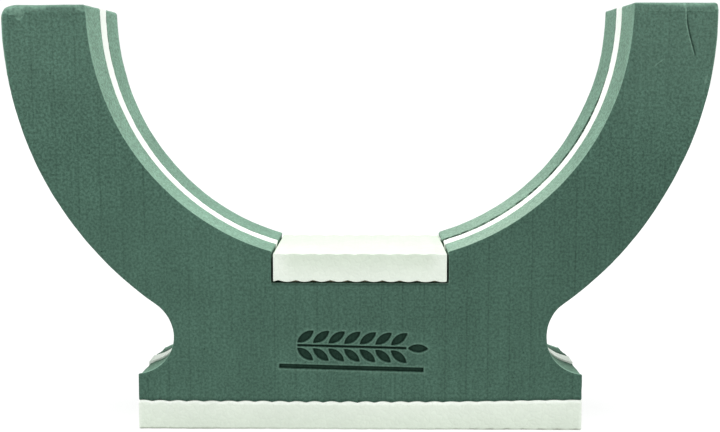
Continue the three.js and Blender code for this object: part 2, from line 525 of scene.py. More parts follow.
def wear_feet(co, pull, step=0.0, drop=0.0):
    """Wears the corners where the waist recesses meet the foot's sides, behind the front face: pulls
    them in, steps down from the core board and drops towards the back."""
    behind = smoothstep(0.5 * MM, 6 * MM, co[:, 1] - CAD_LOW.y)
    to_joint = smoothstep(CAD_LOW.y + 12 * MM, -14 * MM, co[:, 1])
    in_back = smoothstep(5 * MM, 45 * MM, co[:, 1])
    recess = 1 - smoothstep(FOOT_TOP + 12 * MM, FOOT_TOP + 30 * MM, co[:, 2])
    above = smoothstep(FOOT_TOP - 16 * MM, FOOT_TOP - 2 * MM, co[:, 2])
    for side in (-1, 1):
        away = np.hypot(co[:, 0] - side * FOOT_SIDE, co[:, 2] - FOOT_TOP)
        worn = pull * (1 - smoothstep(0, 7 * MM, away)) * behind * (1.0 if side < 0 else 0.45)
        near = smoothstep(FOOT_SIDE - 34 * MM, FOOT_SIDE - 22 * MM, side * co[:, 0])
        co[:, 0] -= side * 0.7 * worn
        co[:, 2] -= 0.7 * worn + recess * near * above * (step * to_joint + drop * in_back)
    return co


# ---------------- foam panels

# Places below are x and z in millimetres from an arm's outer top corner, towards the middle and down.
# Chips on the arms' front: side, outline, depth in millimetres, and how dusty they are
CHIPS = [
    (-1, [(2.6, 1), (16.9, 1), (16.2, 6.1), (15.5, 9), (12.6, 11.8), (10.5, 11.1), (9, 8.2), (6.2, 7.9),
          (4, 7.5), (2, 5.4)], 0.8, 0.34),
    (-1, [(50.5, 1), (61, 1), (60, 6), (55, 5)], 0.5, 0.3),
    (1, [(0.5, 0.5), (5, 0.5), (4, 4.2), (0.8, 5)], 0.5, 0.4),
    (1, [(7.2, 49.5), (9.2, 51.5), (10, 56), (7.8, 56)], 0.4, 0.34),
]

# Lines on the right arm's front: route, depth and half width in millimetres, how dark the line is, how
# pale the rim beside it is, and where along it the line begins to show. A crack, a crease and a scuff.
SCRATCHES = [
    ([(24.0, -1), (23.4, 6.9), (23.0, 12.1), (21.2, 20.8), (18.9, 28.6), (15.6, 39.3)],
     0.8, 0.45, 0.68, 0.5, 0.15),
    ([(3.5, 6.8), (18, 6.0), (36, 6.2), (55, 5.6)], 0.2, 0.35, 0.2, 0.0, 0.0),
    ([(44, 43.8), (40.5, 41), (37.2, 39.2)], 0.25, 0.3, 0.25, 0.35, 0.0),
]
RIM_OFFSET = 0.95 * MM


# How round the outer and the inner corner of each arm's top is, and every other corner
LEFT_CORNERS = (11.5 * MM, 3 * MM)
RIGHT_CORNERS = (3.2 * MM, 1.6 * MM)
OTHER_CORNERS = 1.1 * MM


def foam_corner(x, z):
    """How round each corner of a foam panel's outline is."""
    if z <= ARM_TOP - MM:
        return OTHER_CORNERS
    outer, inner = LEFT_CORNERS if x < 0 else RIGHT_CORNERS
    return outer if abs(x) > ARM_SIDE - 10 * MM else inner


def arm_place(places, side):
    """The x and z in metres of places given from an arm's outer top corner."""
    places = np.array(places, float) * MM
    return np.column_stack([side * (ARM_SIDE - places[:, 0]), ARM_TOP - places[:, 1]])


def chip_amounts(points):
    """How deep and how dusty the chips are at each x and z."""
    depth, dust = np.zeros(len(points)), np.zeros(len(points))
    rough = 0.45 * MM * noise(np.column_stack([points, points[:, :1]]), 1.7 * MM, 5)
    for side, outline, deep, dusty in CHIPS:
        ring = arm_place(outline, side)
        near = close_to(points, ring, 2 * MM)
        signed = depth_inside(points[near], ring) + rough[near]
        depth[near] = np.maximum(depth[near], smoothstep(-0.1 * MM, 1.2 * MM, signed) * deep * MM)
        dust[near] = np.maximum(dust[near], smoothstep(-0.2 * MM, 0.5 * MM, signed) * dusty)
    return depth, dust


def scratch_line(route):
    return stretch(hermite(arm_place(route, 1)), 0, 0, 1.0 * MM)


def scratch_amounts(points):
    """How deep, how dark and how pale the scratches are at each x and z."""
    depth, dark, pale = (np.zeros(len(points)) for _ in range(3))
    for route, deep, half, darkness, paleness, begin in SCRATCHES:
        line = scratch_line(route)
        near = close_to(points, line, 3 * MM)
        away, share = beside(points[near], line)
        ends = smoothstep(begin - 0.1, begin + 0.25, share) * (1 - smoothstep(0.85, 1.0, share))
        split = (1 - smoothstep(0.5 * half * MM, 1.8 * half * MM, away)) * ends
        rim, _ = beside(points[near], line - np.array([RIM_OFFSET, 0]))
        rim = (1 - smoothstep(0.25 * MM, 0.75 * MM, rim)) * (1 - smoothstep(0.8, 0.95, share))
        depth[near] += split * deep * MM - rim * paleness * 0.25 * MM
        dark[near] = np.maximum(dark[near], split * darkness)
        pale[near] = np.maximum(pale[near], rim * paleness)
    return depth, dark, pale


def edge_radius(ring, seed, worn):
    """How round the edge between the face and the sides is, along the outline."""
    along = np.column_stack([ring, np.full(len(ring), 0.1)])
    rough = 1 + 0.28 * noise(along, 9 * MM, seed) + 0.2 * noise(along, 3 * MM, seed + 1)
    top = smoothstep(ARM_TOP - 12 * MM, ARM_TOP - MM, ring[:, 1])
    side = smoothstep(ARM_TOP - 90 * MM, ARM_TOP - 10 * MM, ring[:, 1])
    outer = smoothstep(ARM_SIDE - 45 * MM, ARM_SIDE - 25 * MM, np.abs(ring[:, 0]))
    left = np.where(ring[:, 0] < 0, 1.0, 0.62)
    radius = (0.35 + worn * left * (3.3 * top + 2.3 * side * outer)) * MM
    return fit_radius(ring, np.where(in_notch(ring), 0.7 * MM, radius) * rough)


def in_notch(plan):
    """Which points belong to the walls and the floor of the notch for the urn platform."""
    across = np.abs(plan[:, 0]) < SEAT_HIGH.x + 1.6 * MM
    return across & (plan[:, 1] > SEAT_LOW.z - 3 * MM) & (plan[:, 1] < SEAT_HIGH.z + 0.5 * MM)


def under_platform(plan):
    """How near each point of a face is to the underside of the platform in its notch."""
    below = SEAT_LOW.z - plan[:, 1]
    near = (1 - smoothstep(1.1 * MM, 2.4 * MM, below)) * (below > -2 * MM)
    return near * (np.abs(plan[:, 0]) < SEAT_HIGH.x + MM)


def saw_lines(x, z, seed):
    """How deep the regular saw lines down a face are at each point."""
    wander = 0.3 * MM * noise(np.column_stack([x, z, z]), 60 * MM, seed)
    phase = (x + wander) / LINE_PITCH
    away = np.abs(phase - np.round(phase)) * LINE_PITCH
    strength = 0.5 + 0.5 * noise(np.column_stack([np.round(phase) * 0.1, z, x * 0]), 45 * MM, seed + 3)
    return (1 - smoothstep(0.2 * MM, 0.9 * MM, away)) * strength


def carve_foam(mesh, face_y, inner_y, seed, loops, press_depth, marked):
    """Gives a foam panel its wear, cut marks and pressed ornament, and paints where they are.
    face_y is the open face's depth, and inner_y the glued one's."""
    co, no = positions(mesh), normals(mesh)
    plan = co[:, [0, 2]]
    out = 1.0 if face_y > inner_y else -1.0
    from_face = np.abs(co[:, 1] - face_y)
    on_face = 1 - smoothstep(0.02 * MM, 3.0 * MM, from_face)
    facing = smoothstep(0.3, 0.95, no[:, 1] * out)
    from_joint = np.abs(co[:, 1] - inner_y)

    move = layered(co, FOAM_ROUGHNESS, seed)
    move -= 0.12 * MM * saw_lines(co[:, 0], co[:, 2], seed) * facing
    nicks = smoothstep(0.62, 0.95, noise(co, 6 * MM, seed + 6)) * on_face * (1 - facing)
    move -= 0.6 * MM * nicks
    dark, pale = np.zeros(len(co)), 0.5 * nicks
    if marked:
        scratch, shade, rim = scratch_amounts(plan)
        chip, dust = chip_amounts(plan)
        move -= (scratch + chip) * on_face
        dark = shade * on_face
        pale = np.maximum(pale, np.maximum(rim, dust) * on_face)
    move[from_joint < 0.2 * MM] = 0
    co = co + no * move[:, None]

    if len(loops):
        index = np.flatnonzero((from_face < MM) & (facing > 0.9))
        deep, walls, lip = press_amount(plan[index], loops)
        rough = 0.12 * MM * noise(co[index], 1.6 * MM, seed + 8)
        co[index, 1] -= out * (deep * (press_depth + rough) - 0.2 * MM * lip)
        # The stamp's crushed foam is dark, with painted shade near its edges.
        dark[index] = np.maximum(dark[index], walls)
        pale[index] = np.maximum(pale[index], 0.3 * lip)

    # The bottom follows the plank's scallops.
    low = 1 - smoothstep(0.5 * MM, 8 * MM, co[:, 2] - FOAM_BOTTOM)
    co[:, 2] += low * foam_rise(co[:, 0])
    in_front = face_y < inner_y
    move_to(mesh, wear_feet(bow(co), FOAM_PULL, FRONT_STEP * in_front, BACK_DROP * (not in_front)))

    paint_foam(mesh, plan, from_face, from_joint, no[:, 1] * out, in_front, dark, pale)


def paint_foam(mesh, plan, from_face, from_joint, outwards, in_front, dark, pale):
    """Paints which foam is cut, dusty and dark, partly as painted sheen, highlight and shade: rounded
    edges, joints, the notch and the recesses.
    """
    co = positions(mesh)
    facing = smoothstep(0.3, 0.95, outwards)
    rounded = 1 - smoothstep(0.85, 0.999, outwards)
    low = 1 - smoothstep(FOOT_TOP + 18 * MM, FOOT_TOP + 26 * MM, plan[:, 1])
    recess = low * smoothstep(FOOT_TOP - 4 * MM, FOOT_TOP - MM, plan[:, 1]) * (np.abs(plan[:, 0]) > 130 * MM)

    # Along the glued edge, a dark joint line that is partly a painted shadow, strongest on the back panel.
    joint = (1 - smoothstep(0.3 * MM, EDGE_ROW, from_joint)) * (0.15 if in_front else 0.8)
    dark = np.maximum(dark, joint * (0.35 + 0.65 * smoothstep(-0.25, 0.15, noise(co, 2.4 * MM, 71))))
    # Painted shade in the notch: on its walls, strongest near the open face, and on its floor.
    walls = np.abs(plan[:, 0]) > SEAT_HIGH.x
    near_face = 1 - smoothstep(3 * MM, 6 * MM, from_face)
    notch = np.where(walls, 0.25 + 0.6 * near_face, 0.5) * in_notch(plan) * (1 - facing)
    dark = np.maximum(dark, notch)
    if in_front:
        # Painted shade along the front panel's bottom edge, above the plank.
        dark = np.maximum(dark, 0.4 * (1 - smoothstep(0.8 * MM, 2.6 * MM, plan[:, 1] - FOAM_BOTTOM)))
        # Painted shadow on the front face just under the platform.
        dark = np.maximum(dark, 0.65 * under_platform(plan))
    # Painted shade in the waist recesses, strongest towards the joint.
    dark = np.maximum(dark, 0.4 * recess * (1 - smoothstep(2 * MM, 18 * MM, from_joint)))

    left = plan[:, 0] < 0
    top = smoothstep(ARM_TOP - 9 * MM, ARM_TOP - MM, plan[:, 1])
    side = smoothstep(ARM_TOP - 60 * MM, ARM_TOP - 8 * MM, plan[:, 1])
    edge = (1 - smoothstep(2 * MM, 6 * MM, from_face)) * rounded
    edge *= 0.2 + 0.35 * side + 0.9 * recess - 0.2 * top
    # Paler up the arms, more so on the right arm.
    paler_up_arms = smoothstep(ARM_TOP - 120 * MM, ARM_TOP - 10 * MM, plan[:, 1]) * np.where(left, 0.13, 0.19)
    # A painted highlight along the arms' tops, where the rounded edge catches the light from above.
    top_highlight = 0.1 * smoothstep(ARM_TOP - 6.5 * MM, ARM_TOP - 5.5 * MM, plan[:, 1])
    # Cut sides are paler, partly a painted sheen; less so in the recesses and on the rounded tops, as painted
    # shade.
    cut_and_sheen = (1 - facing) * (1.0 - 0.3 * recess if in_front else 0.84 - 0.5 * recess)
    cut_and_sheen *= 1 - 0.65 * top * (1 - smoothstep(3 * MM, 8 * MM, from_face))
    paint(mesh, "cut_and_sheen", cut_and_sheen)
    # Dust and wear, a painted highlight along the arms' tops, and paler up the arms.
    paint(mesh, "dust", edge + pale + paler_up_arms + top_highlight)
    # Crushed, stamped and scratched foam, together with the painted shade above.
    paint(mesh, "pressed_and_shade", dark)

    fresh = inner_side(plan[:, 0], plan[:, 1]) * smoothstep(40 * MM, 80 * MM, plan[:, 0]) * (1 - facing)
    fresh *= 1 - smoothstep(ARM_TOP - 165 * MM, ARM_TOP - 95 * MM, plan[:, 1])
    fresh *= 0.7 + 0.35 * (1 - smoothstep(4 * MM, 25 * MM, from_face)) if in_front else 0.65
    paint(mesh, "fresh", fresh)


def press_amount(plan, loops):
    """How far each face point is pressed in, from 0 to 1, how dark its crushed foam is, with painted shade
    near the shape's edges, and how much it belongs to the lip round the pressed shape."""
    deep, dark, lip = (np.zeros(len(plan)) for _ in range(3))
    for ring in loops:
        near = close_to(plan, ring, 2 * MM)
        signed = depth_inside(plan[near], ring)
        deep[near] = np.maximum(deep[near], smoothstep(-0.05 * MM, 0.6 * MM, signed))
        # Painted shade: darker near the shape's edges than in its middle.
        shade = 1 - 0.22 * smoothstep(0.5 * MM, 1.5 * MM, signed)
        dark[near] = np.maximum(dark[near], shade * smoothstep(-0.15 * MM, 0.35 * MM, signed))
        lip[near] = np.maximum(lip[near], 1 - smoothstep(0.1 * MM, 0.7 * MM, np.abs(signed + 0.75 * MM)))
    return deep, dark, lip * (dark < 0.5)


def detail_points(loops, marked, seed):
    """Extra points where a foam face has fine shape: round the pressed ornament, chips and scratches."""
    found = []
    rings = list(loops)
    if marked:
        rings += [arm_place(outline, side) for side, outline, _, _ in CHIPS]
    for ring in rings:
        low, high = ring.min(0) - 1.6 * MM, ring.max(0) + 1.6 * MM
        grid = hex_grid(low, high, FINE_STEP, 0.05, seed)
        found.append(grid[distance_to(grid, ring) < 1.5 * MM])
    for scratch in SCRATCHES if marked else ():
        line = scratch_line(scratch[0])
        low, high = line.min(0) - 3 * MM, line.max(0) + 3 * MM
        grid = hex_grid(low, high, 0.42 * MM, 0.05, seed)
        found.append(grid[beside(grid, line)[0] < 1.7 * MM])
    return np.vstack(found) if found else np.empty((0, 2))


def thin_out(points, cell):
    """At most one point in each square cell."""
    _, first = np.unique(np.floor(points / cell).astype(int), axis=0, return_index=True)
    return points[np.sort(first)]


def spread_out(points, extra, step):
    """The points and the extra ones, without the points that crowd an extra one."""
    cell = 0.8 * step
    taken = {tuple(c) for c in np.floor(extra / cell).astype(int)}
    keep = [tuple(c) not in taken for c in np.floor(points / cell).astype(int)]
    return np.vstack([points[keep], extra])


def foam_panel(name, node, open_y, glued_y, seed, worn, material):
    """A foam panel, whose open face is at open_y and whose glued face is at glued_y."""
    loops = face_loops(node, open_y)
    pockets = [redraw(ring, 0.6 * MM, lambda x, z: 0.25 * MM) for ring in loops[1:]]
    marked = bool(pockets)
    outline = as_cut(redraw(loops[0], OUTLINE_STEP, foam_corner))
    if open_y > glued_y:
        outline = stand_proud(outline)
    open_radius = edge_radius(outline, seed, worn)
    along = np.column_stack([outline, outline[:, :1]])
    glued_radius = fit_radius(outline, 0.3 * MM + 0.2 * MM * noise(along, 3 * MM, seed + 7))
    inner_edge = outline + inward(outline) * open_radius[:, None]
    points = face_points(inner_edge, FACE_STEP, seed)
    extra = detail_points(pockets, marked, seed + 1)
    if len(extra):
        extra = extra[inside(extra, inner_edge)]
        clear = distance_to(extra, inner_edge) > 0.35 * MM
        points = spread_out(points, thin_out(extra[clear], 0.3 * MM), FACE_STEP)
    if open_y < glued_y:
        mesh = board(name, outline, open_y, glued_y, open_radius, glued_radius, points, None)
    else:
        mesh = board(name, outline, glued_y, open_y, glued_radius, open_radius, None, points)
    depths = {abs(v.co.y - open_y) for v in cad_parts[node].data.vertices}
    press_depth = min((d for d in depths if MM < d < 0.5 * abs(open_y - glued_y)), default=0.0)
    carve_foam(mesh, open_y, glued_y, seed, pockets, press_depth, marked)
    return piece(name, mesh, material, node)


# ---------------- polystyrene


def plank_top_at(x):
    """The plank's top, with the tips of its scallops a little above the CAD plank's top."""
    return PLANK_TOP + SCALLOP_TIPS - plank_top_cut(x) + plank_top_rise(x)


def plank_top_cut(x):
    """The scallops along the plank's top, which fade out towards its right end."""
    return ripple(x, PLANK_TOP_PHASE) * (1 - 0.65 * smoothstep(-30 * MM, 110 * MM, x))


def plank_top_rise(x):
    """The plank is slightly bent, and its right end is a little thick: its ends stand higher."""
    return PLANK_BOW * (x / FOOT_SIDE) ** 2 + PLANK_SWELL * smoothstep(60 * MM, FOOT_SIDE, x)


def foam_rise(x):
    """How far the boards' bottom edges rise to follow the plank's scallops."""
    return plank_top_at(x) + BOARD_GAP - FOAM_BOTTOM


def plank_bottom_rise(x):
    """The plank's left end is off the ground by a hair."""
    return 0.3 * PLANK_BOW * (np.minimum(x, 0) / FOOT_SIDE) ** 2


def plank_bottom_cut(x):
    return 0.15 * ripple(x, PLANK_BOTTOM_PHASE)


def seat_top_cut(x):
    return 0.45 * ripple(x, 0.3)


def seat_bottom_cut(x):
    return 0.9 * ripple(x, 0.7)


def level(x):
    """No rise at any x."""
    return 0 * x


def scalloped_box(low, high, corner, top_cut, bottom_cut, top_rise=level, bottom_rise=level):
    """A rectangle's outline with rounded corners, whose top and bottom edges are cut in and raised by
    the functions of x given."""
    ring = np.array([(low.x, low.z), (high.x, low.z), (high.x, high.z), (low.x, high.z)])
    ring = redraw(ring, 0.9 * MM, lambda x, z: corner)
    x, z = ring[:, 0], ring[:, 1]
    share = (z - low.z) / (high.z - low.z)
    z = z - smoothstep(0.875, 1.0, share) * top_cut(x) + (1 - smoothstep(0.0, 0.125, share)) * bottom_cut(x)
    return np.column_stack([x, z + share * top_rise(x) + (1 - share) * bottom_rise(x)])


def roughen_block(mesh, seed):
    co, no = positions(mesh), normals(mesh)
    co = co + no * (layered(co, BLOCK_ROUGHNESS, seed) - 0.1 * MM)[:, None]
    co[:, 2] = np.maximum(co[:, 2], CAD_LOW.z)
    move_to(mesh, co)


def polystyrene_block(name, node, ring, edge_radius, seed, material):
    """A block with scalloped cuts, whose lower edges are the sharper ones."""
    low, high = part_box(node)
    upper = smoothstep(low.z, high.z, ring[:, 1])
    radius = fit_radius(ring, 0.3 * MM + (edge_radius - 0.3 * MM) * upper)
    edge = ring + inward(ring) * radius[:, None]
    points = face_points(edge, FACE_STEP, seed)
    mesh = board(name, ring, low.y, high.y, radius, radius, points, points)
    roughen_block(mesh, seed)
    return piece(name, mesh, material, node)


def paint_dull_and_shading(block, node, dull_and_shade_top, dull_and_shade_bottom, end_fade):
    """Paints a block's greyer tone, with painted shade and light on its front, from the bottom to the top,
    and on its top, and a darker line along its back edge.
    """
    mesh = block.data
    low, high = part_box(node)
    co, no = positions(mesh), normals(mesh)
    share = smoothstep(low.z, high.z, co[:, 2])
    ends = smoothstep(0, end_fade, high.x - np.abs(co[:, 0]))
    # Painted shade graded up the front, and a painted highlight towards the front's ends.
    front = smoothstep(0.4, 0.95, -no[:, 1]) * (dull_and_shade_bottom + (dull_and_shade_top - dull_and_shade_bottom) * share)
    # A darker line along the back top edge.
    back_edge = 1 - smoothstep(0.5 * MM, 1.7 * MM, np.hypot(high.y - co[:, 1], high.z - co[:, 2]))
    # Painted shade on the top faces, more towards the back.
    upper = smoothstep(0.5, 0.9, no[:, 2]) * (0.7 + 0.2 * smoothstep(low.y, high.y, co[:, 1]))
    dull_and_shading = np.maximum.reduce([front * (0.5 + 0.5 * ends), 0.8 * back_edge, upper, np.full(len(co), 0.4)])
    paint(mesh, "dull_and_shading", dull_and_shading)
    return dull_and_shading


def paint_plank(block, dull_and_shading):
    """Paints a highlight along the plank's upper front edge and a shadow along its lower front edge."""
    mesh = block.data
    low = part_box("base_plank")[0]
    co = positions(mesh)
    x = co[:, 0]
    near_front = 1 - smoothstep(0.8 * MM, 1.6 * MM, co[:, 1] - low.y)
    # Painted highlight just under the plank's top, along its front.
    bright = near_front * (1 - smoothstep(1.4 * MM, 2.8 * MM, plank_top_at(x) - co[:, 2]))
    paint(mesh, "dull_and_shading", dull_and_shading * (1 - 0.9 * bright))
    # Painted shadow along the lower front edge, stronger to the left, and in the bottom scallops' cusps on
    # the right.
    bottom = near_front * (1 - smoothstep(0.35 * MM, 1.2 * MM, co[:, 2] - low.z - plank_bottom_rise(x)))
    cusp_shadows = ripple(x, PLANK_BOTTOM_PHASE) / RIPPLE_DEPTH * smoothstep(20 * MM, 120 * MM, x)
    paint(mesh, "contact_shadow", bottom * (0.42 + 0.38 * smoothstep(-40 * MM, -130 * MM, x) + 0.95 * cusp_shadows))


def core_board(material):
    low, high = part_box("core_board")
    outline = as_cut(redraw(face_loops("core_board", low.y)[0], OUTLINE_STEP, lambda x, z: 0.8 * MM))
    low_share = 1 - smoothstep(0.5 * MM, 8 * MM, outline[:, 1] - FOAM_BOTTOM)
    outline[:, 1] += low_share * foam_rise(outline[:, 0])
    radius = fit_radius(outline, np.full(len(outline), 0.3 * MM))
    mesh = board("core_board_polystyrene", outline, low.y, high.y, radius, radius)
    co, no = positions(mesh), normals(mesh)
    side = smoothstep(0.3, 0.9, np.hypot(no[:, 0], no[:, 2]))
    co = co + no * (side * (layered(co, CORE_ROUGHNESS, 41) + 0.15 * MM))[:, None]
    at_back = smoothstep(high.y - 0.6 * MM, high.y - 0.2 * MM, co[:, 1]) * side
    co[:, 1] += at_back * 0.35 * MM * noise(co, 2.2 * MM, 43)
    move_to(mesh, wear_feet(bow(co), CORE_PULL, 0.0, CORE_DROP))
    paint(mesh, "dull_and_shading", np.zeros(len(co)))
    return piece("core_board_polystyrene", mesh, material, "core_board")


# ---------------- materials


class Nodes:
    """A short way to build a material's node tree."""

    def __init__(self, name):
        self.material = bpy.data.materials.new(name)
        self.material.use_nodes = True
        self.tree = self.material.node_tree
        self.shader = self.tree.nodes["Principled BSDF"]
        self.place = self.add("ShaderNodeTexCoord").outputs["Object"]

    def feed(self, socket, value):
        if isinstance(value, bpy.types.NodeSocket):
            self.tree.links.new(value, socket)
        else:
            socket.default_value = value

    def add(self, kind, inputs=None, **settings):
        node = self.tree.nodes.new(kind)
        for key, value in settings.items():
            setattr(node, key, value)
        for key, value in (inputs or {}).items():
            self.feed(node.inputs[key], value)
        return node

    def math(self, operation, a, b=0.0, clamp=False):
        return self.add("ShaderNodeMath", {0: a, 1: b}, operation=operation, use_clamp=clamp).outputs[0]

    def ramp(self, value, low, high, to_low=0.0, to_high=1.0):
        """value from low to high, stretched to run from to_low to to_high, smoothly."""
        return self.add(
            "ShaderNodeMapRange",
            {"Value": value, "From Min": low, "From Max": high, "To Min": to_low, "To Max": to_high},
            interpolation_type="SMOOTHSTEP",
        ).outputs["Result"]

    def noise(self, scale, detail=2.0, roughness=0.5, stretch=None):
        vector = self.place
        if stretch is not None:
            vector = self.add("ShaderNodeMapping", {"Vector": vector, "Scale": stretch}).outputs[0]
        return self.add(
            "ShaderNodeTexNoise",
            {"Vector": vector, "Scale": scale, "Detail": detail, "Roughness": roughness},
        ).outputs["Fac"]

    def voronoi(self, scale, feature="F1"):
        return self.add("ShaderNodeTexVoronoi", {"Vector": self.place, "Scale": scale}, feature=feature)

    def painted(self, name):
        return self.add("ShaderNodeAttribute", attribute_name=name).outputs["Fac"]

    def mix(self, share, a, b, blend="MIX"):
        """Colour a where share is 0 and b where it is 1."""
        a, b = ((*colour, 1.0) if isinstance(colour, tuple) else colour for colour in (a, b))
        settings = {"data_type": "RGBA", "blend_type": blend, "clamp_factor": True}
        return self.add("ShaderNodeMix", {0: share, 6: a, 7: b}, **settings).outputs[2]

    def scaled(self, colour, factor):
        """The colour times a grey factor, which is a socket."""
        grey = self.add("ShaderNodeCombineColor", {0: factor, 1: factor, 2: factor}).outputs[0]
        return self.mix(1.0, colour, grey, "MULTIPLY")

    def bump(self, height, distance, strength=1.0, under=None):
        inputs = {"Height": height, "Distance": distance, "Strength": strength}
        if under is not None:
            inputs["Normal"] = under
        return self.add("ShaderNodeBump", inputs).outputs[0]

    def link(self, **sockets):
        for key, value in sockets.items():
            self.feed(self.shader.inputs[key.replace("_", " ")], value)


FOAM_FACE = (0.0652, 0.131, 0.098)
# Paler partly as a painted sheen.
FOAM_CUT_AND_SHEEN = (0.205, 0.336, 0.257)
FOAM_FRESH = (0.29, 0.42, 0.33)
FOAM_DUST = (0.235, 0.395, 0.305)
# Also serves as painted shade.
FOAM_PRESSED_AND_SHADE = (0.002, 0.012, 0.007)


def foam_brightness(n, cells, grain, x, z):
    """Speckles, clouds and streaks. The panels are rougher up the arms, with painted shade towards the right.
    """
    clouds = n.noise(16, 3, 0.55)
    patches = n.noise(70, 2, 0.5)
    streaks = n.noise(520, 2, 0.6, stretch=(1.0, 1.0, 0.03))
    broad_streaks = n.noise(130, 2, 0.6, stretch=(1.0, 1.0, 0.02))
    factor = n.math("ADD", n.ramp(cells, 0.3, 0.7, 0.74, 1.24), n.ramp(grain, 0.3, 0.7, -0.12, 0.12))
    for pattern, dark, bright in (
        (clouds, 0.93, 1.07), (patches, 0.96, 1.04), (streaks, 0.95, 1.04), (broad_streaks, 0.965, 1.03)
    ):
        factor = n.math("MULTIPLY", factor, n.ramp(pattern, 0.3, 0.7, dark, bright))
    contrast = n.ramp(z, 0.4 * ARM_TOP, 0.8 * ARM_TOP, 0.78, 1.08)
    factor = n.math("ADD", 1.0, n.math("MULTIPLY", n.math("SUBTRACT", factor, 1.0), contrast))
    # Painted shade, darker towards the right.
    return n.math("MULTIPLY", factor, n.ramp(x, -ARM_SIDE, ARM_SIDE, 1.06, 0.94))


def saw_line_shade(n, x, cut_and_sheen):
    """How dark the regular saw lines are. They show only on the open faces."""
    phase = n.math("DIVIDE", x, LINE_PITCH)
    away = n.math("ABSOLUTE", n.math("SUBTRACT", n.math("FRACT", n.math("ADD", phase, 0.5)), 0.5))
    line = n.ramp(away, 0.012, 0.05, 1.0, 0.0)
    faint = n.ramp(n.noise(30, 2, 0.6, stretch=(1.0, 1.0, 0.35)), 0.2, 0.6)
    open_face = n.math("SUBTRACT", 1.0, cut_and_sheen, clamp=True)
    return n.math("MULTIPLY", n.math("MULTIPLY", line, faint), n.math("MULTIPLY", open_face, 0.165))


def pits_and_specks(n):
    """Where the foam has dark pits and pale specks."""
    pit_cells = n.voronoi(150)
    near = n.ramp(pit_cells.outputs["Distance"], 0.035, 0.10, 1.0, 0.0)
    which = n.add("ShaderNodeSeparateColor", {0: pit_cells.outputs["Color"]}).outputs
    pit = n.math("MULTIPLY", near, n.ramp(which[0], 0.80, 0.84))
    speck = n.math("MULTIPLY", near, n.ramp(which[1], 0.84, 0.88))
    return pit, speck


def foam_material():
    n = Nodes("floral_foam")
    cells = n.noise(560, 1, 0.5)
    grain = n.noise(1300, 1, 0.5)
    cut_and_sheen = n.painted("cut_and_sheen")
    x, _, z = n.add("ShaderNodeSeparateXYZ", {0: n.place}).outputs
    factor = foam_brightness(n, cells, grain, x, z)
    factor = n.math("MULTIPLY", factor, n.math("SUBTRACT", 1.0, saw_line_shade(n, x, cut_and_sheen)))
    # The cut sides' paler colour is partly a painted sheen.
    colour = n.scaled(n.mix(n.painted("fresh"), n.mix(cut_and_sheen, FOAM_FACE, FOAM_CUT_AND_SHEEN), FOAM_FRESH), factor)

    dust_patches = n.ramp(n.noise(420, 3, 0.7), 0.32, 0.62)
    # Dust and wear, with a painted highlight along the arms' tops.
    dust = n.math("MULTIPLY", n.painted("dust"), n.math("ADD", 0.45, n.math("MULTIPLY", dust_patches, 0.55)))
    colour = n.mix(dust, colour, FOAM_DUST)
    pit, speck = pits_and_specks(n)
    colour = n.mix(n.math("MULTIPLY", speck, 0.35), colour, FOAM_DUST)
    colour = n.mix(n.math("MULTIPLY", pit, 0.55), colour, FOAM_PRESSED_AND_SHADE)
    # Dark where the foam is crushed, stamped and scratched, plus painted shade at the joints, the notch, the
    # bottom edge, under the platform and in the recesses.
    colour = n.mix(n.math("MULTIPLY", n.painted("pressed_and_shade"), 0.92), colour, FOAM_PRESSED_AND_SHADE)

    rough = n.bump(cells, 0.35 * MM, 0.7)
    fine = n.bump(grain, 0.2 * MM, 0.6, under=rough)
    pits = n.bump(n.math("MULTIPLY", pit, -1.0), 0.4 * MM, 1.0, under=fine)
    n.link(Base_Color=colour, Normal=pits, Roughness=n.ramp(cells, 0.3, 0.7, 0.9, 1.0))
    n.link(Specular_IOR_Level=0.05)
    return n.material


POLYSTYRENE = (0.93, 0.975, 0.91)
POLYSTYRENE_DULL_AND_SHADE = (0.55, 0.648, 0.515)
POLYSTYRENE_DEEP = (0.60, 0.68, 0.57)
POLYSTYRENE_SHADOW = (0.21, 0.24, 0.18)


def polystyrene_material():
    n = Nodes("polystyrene")
    edges = n.voronoi(270, "DISTANCE_TO_EDGE").outputs["Distance"]
    beads = n.voronoi(270)
    which = n.add("ShaderNodeSeparateColor", {0: beads.outputs["Color"]}).outputs
    clouds = n.noise(22, 3, 0.5)
    grain = n.noise(1500, 2, 0.6)
    seam = n.ramp(edges, 0.0, 0.10, 1.0, 0.0)
    factor = n.math("MULTIPLY", n.ramp(clouds, 0.3, 0.7, 0.975, 1.02), n.ramp(which[0], 0, 1, 0.985, 1.015))
    factor = n.math("MULTIPLY", factor, n.ramp(grain, 0.3, 0.7, 0.985, 1.015))
    # A greyer tone, with painted shade and painted highlights.
    colour = n.scaled(n.mix(n.painted("dull_and_shading"), POLYSTYRENE, POLYSTYRENE_DULL_AND_SHADE), factor)
    colour = n.mix(n.math("MULTIPLY", seam, 0.10), colour, POLYSTYRENE_DEEP)
    gaps = n.math("MULTIPLY", n.ramp(edges, 0.0, 0.05, 1.0, 0.0), n.ramp(n.noise(180, 2, 0.5), 0.58, 0.66))
    colour = n.mix(n.math("MULTIPLY", gaps, 0.5), colour, POLYSTYRENE_DEEP)
    # A painted shadow along the plank's lower front edge.
    colour = n.mix(n.painted("contact_shadow"), colour, POLYSTYRENE_SHADOW)
    domes = n.bump(n.ramp(edges, 0.0, 0.35), 0.25 * MM, 0.5)
    fine = n.bump(grain, 0.1 * MM, 0.5, under=domes)
    n.link(Base_Color=colour, Normal=fine, Roughness=n.ramp(which[1], 0, 1, 0.55, 0.75))
    n.link(Specular_IOR_Level=0.35)
    return n.material


GLUE = (0.79, 0.69, 0.40)


